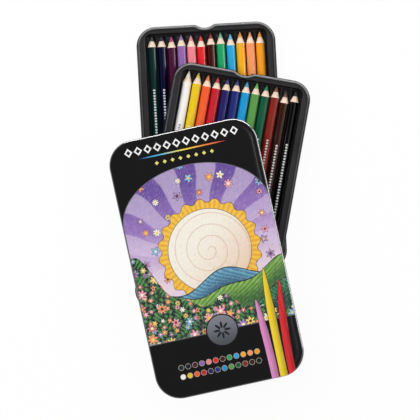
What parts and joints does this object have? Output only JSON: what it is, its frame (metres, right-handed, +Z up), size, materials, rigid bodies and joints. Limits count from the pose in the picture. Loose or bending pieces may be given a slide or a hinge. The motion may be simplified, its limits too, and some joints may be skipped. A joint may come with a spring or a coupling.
{
  "type": "colored pencil box",
  "caption": "Hinged round-cornered tin for colored pencils, closed, lying on its two fanned-out trays, each filled with a row of round pencils.",
  "frame": {"origin": "middle of the whole layout's rectangle, at the table under the back tray", "axes": "+X across the tin away from its hinge side, +Y along the tin towards the pencil points, +Z up from the table"},
  "size_m": [0.1722, 0.2972, 0.0491],
  "materials": {
    "tray_plastic": "satin",
    "tin_black": "gloss",
    "wire": "bright",
    "dark_green_lacquer": "gloss lacquer",
    "dark_green_core": "waxy",
    "navy_lacquer": "gloss lacquer",
    "navy_core": "waxy",
    "plum_lacquer": "gloss lacquer",
    "plum_core": "waxy",
    "lavender_lacquer": "gloss lacquer",
    "lavender_core": "waxy",
    "pink_lacquer": "gloss lacquer",
    "pink_core": "waxy",
    "scarlet_lacquer": "gloss lacquer",
    "scarlet_core": "waxy",
    "maroon_lacquer": "gloss lacquer",
    "maroon_core": "waxy",
    "green_lacquer": "gloss lacquer",
    "green_core": "waxy",
    "sky_blue_lacquer": "gloss lacquer",
    "sky_blue_core": "waxy",
    "gold_lacquer": "gloss lacquer",
    "gold_core": "waxy",
    "peach_lacquer": "gloss lacquer",
    "peach_core": "waxy",
    "amber_lacquer": "gloss lacquer",
    "amber_core": "waxy",
    "white_lacquer": "gloss lacquer",
    "white_core": "waxy",
    "yellow_lacquer": "gloss lacquer",
    "yellow_core": "waxy",
    "orange_lacquer": "gloss lacquer",
    "orange_core": "waxy",
    "crimson_lacquer": "gloss lacquer",
    "crimson_core": "waxy",
    "violet_lacquer": "gloss lacquer",
    "violet_core": "waxy",
    "indigo_lacquer": "gloss lacquer",
    "indigo_core": "waxy",
    "blue_lacquer": "gloss lacquer",
    "blue_core": "waxy",
    "grass_green_lacquer": "gloss lacquer",
    "grass_green_core": "waxy",
    "forest_green_lacquer": "gloss lacquer",
    "forest_green_core": "waxy",
    "brick_lacquer": "gloss lacquer",
    "brick_core": "waxy",
    "brown_lacquer": "gloss lacquer",
    "brown_core": "waxy",
    "black_lacquer": "gloss lacquer",
    "black_core": "waxy"
  },
  "bodies": {
    "back_tray": {"back_tray": "tray_plastic"},
    "front_tray": {"front_tray": "tray_plastic"},
    "tin_base": {"tin_base": "tin_black"},
    "tin_lid": {"tin_lid": "tin_black", "hinge_wire": "wire"},
    "dark_green_pencil": {"dark_green_pencil_wood": "dark_green_lacquer", "dark_green_pencil_lead": "dark_green_core"},
    "navy_pencil": {"navy_pencil_wood": "navy_lacquer", "navy_pencil_lead": "navy_core"},
    "plum_pencil": {"plum_pencil_wood": "plum_lacquer", "plum_pencil_lead": "plum_core"},
    "lavender_pencil": {"lavender_pencil_wood": "lavender_lacquer", "lavender_pencil_lead": "lavender_core"},
    "pink_pencil": {"pink_pencil_wood": "pink_lacquer", "pink_pencil_lead": "pink_core"},
    "scarlet_pencil": {"scarlet_pencil_wood": "scarlet_lacquer", "scarlet_pencil_lead": "scarlet_core"},
    "maroon_pencil": {"maroon_pencil_wood": "maroon_lacquer", "maroon_pencil_lead": "maroon_core"},
    "green_pencil": {"green_pencil_wood": "green_lacquer", "green_pencil_lead": "green_core"},
    "sky_blue_pencil": {"sky_blue_pencil_wood": "sky_blue_lacquer", "sky_blue_pencil_lead": "sky_blue_core"},
    "gold_pencil": {"gold_pencil_wood": "gold_lacquer", "gold_pencil_lead": "gold_core"},
    "peach_pencil": {"peach_pencil_wood": "peach_lacquer", "peach_pencil_lead": "peach_core"},
    "amber_pencil": {"amber_pencil_wood": "amber_lacquer", "amber_pencil_lead": "amber_core"},
    "white_pencil": {"white_pencil_wood": "white_lacquer", "white_pencil_lead": "white_core"},
    "yellow_pencil": {"yellow_pencil_wood": "yellow_lacquer", "yellow_pencil_lead": "yellow_core"},
    "orange_pencil": {"orange_pencil_wood": "orange_lacquer", "orange_pencil_lead": "orange_core"},
    "crimson_pencil": {"crimson_pencil_wood": "crimson_lacquer", "crimson_pencil_lead": "crimson_core"},
    "violet_pencil": {"violet_pencil_wood": "violet_lacquer", "violet_pencil_lead": "violet_core"},
    "indigo_pencil": {"indigo_pencil_wood": "indigo_lacquer", "indigo_pencil_lead": "indigo_core"},
    "blue_pencil": {"blue_pencil_wood": "blue_lacquer", "blue_pencil_lead": "blue_core"},
    "grass_green_pencil": {"grass_green_pencil_wood": "grass_green_lacquer", "grass_green_pencil_lead": "grass_green_core"},
    "forest_green_pencil": {"forest_green_pencil_wood": "forest_green_lacquer", "forest_green_pencil_lead": "forest_green_core"},
    "brick_pencil": {"brick_pencil_wood": "brick_lacquer", "brick_pencil_lead": "brick_core"},
    "brown_pencil": {"brown_pencil_wood": "brown_lacquer", "brown_pencil_lead": "brown_core"},
    "black_pencil": {"black_pencil_wood": "black_lacquer", "black_pencil_lead": "black_core"}
  },
  "joints": [
    {"name": "lid_hinge", "type": "hinge", "parent": "tin_base", "child": "tin_lid", "pos_m": [-0.08295, -0.04389, 0.03995], "axis": [0, -1, 0], "range_deg": [0, 135]},
    {"name": "front_tray_lift", "type": "slide", "parent": "back_tray", "child": "front_tray", "axis": [0, 0, 1], "range_m": [0, 0.06]},
    {"name": "tin_lift", "type": "slide", "parent": "front_tray", "child": "tin_base", "axis": [0, 0, 1], "range_m": [0, 0.06]},
    {"name": "dark_green_slide", "type": "slide", "parent": "back_tray", "child": "dark_green_pencil", "axis": [0.1599, 0.9871, 0], "range_m": [-0.00941, 0.00029]},
    {"name": "navy_slide", "type": "slide", "parent": "back_tray", "child": "navy_pencil", "axis": [0.1599, 0.9871, 0], "range_m": [-0.00917, 0.00053]},
    {"name": "plum_slide", "type": "slide", "parent": "back_tray", "child": "plum_pencil", "axis": [0.1599, 0.9871, 0], "range_m": [-0.00811, 0.00159]},
    {"name": "lavender_slide", "type": "slide", "parent": "back_tray", "child": "lavender_pencil", "axis": [0.1599, 0.9871, 0], "range_m": [-0.00906, 0.00064]},
    {"name": "pink_slide", "type": "slide", "parent": "back_tray", "child": "pink_pencil", "axis": [0.1599, 0.9871, 0], "range_m": [-0.00811, 0.00159]},
    {"name": "scarlet_slide", "type": "slide", "parent": "back_tray", "child": "scarlet_pencil", "axis": [0.1599, 0.9871, 0], "range_m": [-0.00752, 0.00218]},
    {"name": "maroon_slide", "type": "slide", "parent": "back_tray", "child": "maroon_pencil", "axis": [0.1599, 0.9871, 0], "range_m": [-0.00894, 0.00076]},
    {"name": "green_slide", "type": "slide", "parent": "back_tray", "child": "green_pencil", "axis": [0.1599, 0.9871, 0], "range_m": [-0.00906, 0.00064]},
    {"name": "sky_blue_slide", "type": "slide", "parent": "back_tray", "child": "sky_blue_pencil", "axis": [0.1599, 0.9871, 0], "range_m": [-0.00752, 0.00218]},
    {"name": "gold_slide", "type": "slide", "parent": "back_tray", "child": "gold_pencil", "axis": [0.1599, 0.9871, 0], "range_m": [-0.00882, 0.00088]},
    {"name": "peach_slide", "type": "slide", "parent": "back_tray", "child": "peach_pencil", "axis": [0.1599, 0.9871, 0], "range_m": [-0.00835, 0.00135]},
    {"name": "amber_slide", "type": "slide", "parent": "back_tray", "child": "amber_pencil", "axis": [0.1599, 0.9871, 0], "range_m": [-0.00811, 0.00159]},
    {"name": "white_slide", "type": "slide", "parent": "front_tray", "child": "white_pencil", "axis": [0.3811, 0.9245, 0], "range_m": [-0.00941, 0.00029]},
    {"name": "yellow_slide", "type": "slide", "parent": "front_tray", "child": "yellow_pencil", "axis": [0.3811, 0.9245, 0], "range_m": [-0.00941, 0.00029]},
    {"name": "orange_slide", "type": "slide", "parent": "front_tray", "child": "orange_pencil", "axis": [0.3811, 0.9245, 0], "range_m": [-0.0087, 0.001]},
    {"name": "crimson_slide", "type": "slide", "parent": "front_tray", "child": "crimson_pencil", "axis": [0.3811, 0.9245, 0], "range_m": [-0.00835, 0.00135]},
    {"name": "violet_slide", "type": "slide", "parent": "front_tray", "child": "violet_pencil", "axis": [0.3811, 0.9245, 0], "range_m": [-0.00847, 0.00123]},
    {"name": "indigo_slide", "type": "slide", "parent": "front_tray", "child": "indigo_pencil", "axis": [0.3811, 0.9245, 0], "range_m": [-0.009, 0.0007]},
    {"name": "blue_slide", "type": "slide", "parent": "front_tray", "child": "blue_pencil", "axis": [0.3811, 0.9245, 0], "range_m": [-0.00917, 0.00053]},
    {"name": "grass_green_slide", "type": "slide", "parent": "front_tray", "child": "grass_green_pencil", "axis": [0.3811, 0.9245, 0], "range_m": [-0.00929, 0.00041]},
    {"name": "forest_green_slide", "type": "slide", "parent": "front_tray", "child": "forest_green_pencil", "axis": [0.3811, 0.9245, 0], "range_m": [-0.00894, 0.00076]},
    {"name": "brick_slide", "type": "slide", "parent": "front_tray", "child": "brick_pencil", "axis": [0.3811, 0.9245, 0], "range_m": [-0.00941, 0.00029]},
    {"name": "brown_slide", "type": "slide", "parent": "front_tray", "child": "brown_pencil", "axis": [0.3811, 0.9245, 0], "range_m": [-0.00646, 0.00324]},
    {"name": "black_slide", "type": "slide", "parent": "front_tray", "child": "black_pencil", "axis": [0.3811, 0.9245, 0], "range_m": [-0.00858, 0.00112]}
  ]
}
